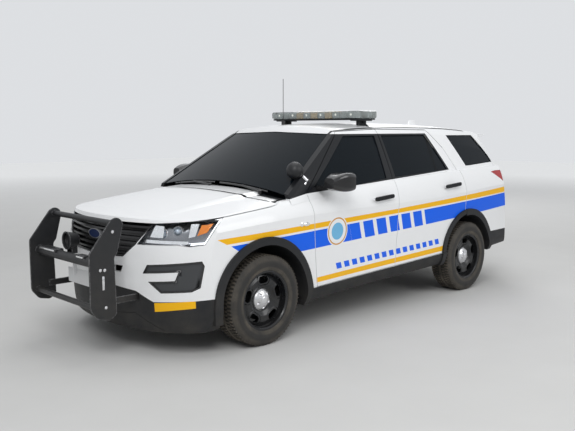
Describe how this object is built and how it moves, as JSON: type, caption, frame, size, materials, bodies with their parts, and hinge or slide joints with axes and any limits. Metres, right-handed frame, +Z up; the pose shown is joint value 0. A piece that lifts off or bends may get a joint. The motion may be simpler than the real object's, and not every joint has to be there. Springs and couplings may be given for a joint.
{
  "type": "police patrol car",
  "caption": "Full-size police utility car with push bumper, roof light bar, pillar spotlight, opening doors, hood and liftgate, steered and turning wheels.",
  "frame": {"origin": "on the ground under the middle of the car, push bumper and rear bumper included", "axes": "+X forward, +Y to the car's left, +Z up"},
  "size_m": [5.327, 2.3048, 2.18],
  "materials": {
    "body_paint": "gloss",
    "dark_plastic": "matte",
    "gloss_trim": "gloss",
    "tinted_glass": "gloss",
    "clear_lamp": "gloss",
    "red_lamp": "gloss",
    "tyre": "matte",
    "wheel_steel": "satin",
    "bare_steel": "rough",
    "guard_black": "satin",
    "chrome": "polished",
    "plate_white": "satin",
    "interior": "matte",
    "seat_cloth": "woven",
    "underbody": "matte",
    "light_bar_lens": "gloss"
  },
  "bodies": {
    "chassis": {"body_sides": "body_paint", "roof_panel": "body_paint", "floor_pan": "underbody", "hinge_pillars": "body_paint", "front_fenders": "body_paint", "cowl": "dark_plastic", "front_bumper": "body_paint", "lower_valance": "dark_plastic", "rear_bumper": "body_paint", "rear_valance": "dark_plastic", "headlights": "clear_lamp", "tail_lamps": "red_lamp", "fog_lamps": "gloss_trim", "grille": "gloss_trim", "windscreen": "tinted_glass", "quarter_glasses": "tinted_glass", "side_cladding": "dark_plastic", "wheel_liners": "dark_plastic", "engine_block": "bare_steel", "front_structure": "underbody", "front_subframe": "underbody", "rear_axle": "underbody", "exhaust": "bare_steel", "dashboard": "interior", "steering_wheel": "interior", "front_seats": "seat_cloth", "rear_bench": "seat_cloth", "push_bumper": "guard_black", "number_plate": "plate_white", "siren_speaker": "guard_black", "cargo_mat": "interior", "light_bar": "light_bar_lens", "spotlight": "guard_black", "roof_antennas": "body_paint"},
    "hood": {"hood": "body_paint"},
    "liftgate": {"liftgate": "body_paint", "liftgate_glass": "tinted_glass"},
    "front_door_left": {"door_front_left": "body_paint", "glass_front_left": "tinted_glass", "mirror_left": "gloss_trim"},
    "rear_door_left": {"door_rear_left": "body_paint", "glass_rear_left": "tinted_glass", "door_flare_left": "dark_plastic"},
    "front_door_right": {"door_front_right": "body_paint", "glass_front_right": "tinted_glass", "mirror_right": "gloss_trim"},
    "rear_door_right": {"door_rear_right": "body_paint", "glass_rear_right": "tinted_glass", "door_flare_right": "dark_plastic"},
    "steering_knuckle_left": {"knuckle_left": "bare_steel"},
    "steering_knuckle_right": {"knuckle_right": "bare_steel"},
    "road_wheel_front_left": {"wheel_front_left": "wheel_steel", "tyre_front_left": "tyre"},
    "road_wheel_front_right": {"wheel_front_right": "wheel_steel", "tyre_front_right": "tyre"},
    "road_wheel_rear_left": {"wheel_rear_left": "wheel_steel", "tyre_rear_left": "tyre"},
    "road_wheel_rear_right": {"wheel_rear_right": "wheel_steel", "tyre_rear_right": "tyre"}
  },
  "joints": [
    {"name": "hood_hinge", "type": "hinge", "parent": "chassis", "child": "hood", "pos_m": [1.2075, 0, 1.16], "axis": [0, -1, 0], "range_deg": [0, 58]},
    {"name": "liftgate_hinge", "type": "hinge", "parent": "chassis", "child": "liftgate", "pos_m": [-2.0225, 0, 1.705], "axis": [0, 1, 0], "range_deg": [0, 80]},
    {"name": "front_door_hinge_left", "type": "hinge", "parent": "chassis", "child": "front_door_left", "pos_m": [0.9095, 0.981, 0.8], "axis": [0, 0, -1], "range_deg": [0, 66]},
    {"name": "rear_door_hinge_left", "type": "hinge", "parent": "chassis", "child": "rear_door_left", "pos_m": [-0.2015, 0.981, 0.8], "axis": [0, 0, -1], "range_deg": [0, 68]},
    {"name": "front_door_hinge_right", "type": "hinge", "parent": "chassis", "child": "front_door_right", "pos_m": [0.9095, -0.981, 0.8], "axis": [0, 0, 1], "range_deg": [0, 66]},
    {"name": "rear_door_hinge_right", "type": "hinge", "parent": "chassis", "child": "rear_door_right", "pos_m": [-0.2015, -0.981, 0.8], "axis": [0, 0, 1], "range_deg": [0, 68]},
    {"name": "steer_left", "type": "hinge", "parent": "chassis", "child": "steering_knuckle_left", "pos_m": [1.4135, 0.79, 0.36], "axis": [0, 0, 1], "range_deg": [-33, 33]},
    {"name": "steer_right", "type": "hinge", "parent": "chassis", "child": "steering_knuckle_right", "pos_m": [1.4135, -0.79, 0.36], "axis": [0, 0, 1], "range_deg": [-33, 33]},
    {"name": "spin_front_left", "type": "hinge", "parent": "steering_knuckle_left", "child": "road_wheel_front_left", "pos_m": [1.4135, 0.851, 0.36], "axis": [0, 1, 0], "continuous": true},
    {"name": "spin_front_right", "type": "hinge", "parent": "steering_knuckle_right", "child": "road_wheel_front_right", "pos_m": [1.4135, -0.851, 0.36], "axis": [0, 1, 0], "continuous": true},
    {"name": "spin_rear_left", "type": "hinge", "parent": "chassis", "child": "road_wheel_rear_left", "pos_m": [-1.4515, 0.851, 0.36], "axis": [0, 1, 0], "continuous": true},
    {"name": "spin_rear_right", "type": "hinge", "parent": "chassis", "child": "road_wheel_rear_right", "pos_m": [-1.4515, -0.851, 0.36], "axis": [0, 1, 0], "continuous": true}
  ],
  "couplings": [
    {"joint": "steer_right", "follows": "steer_left", "ratio": 1}
  ]
}
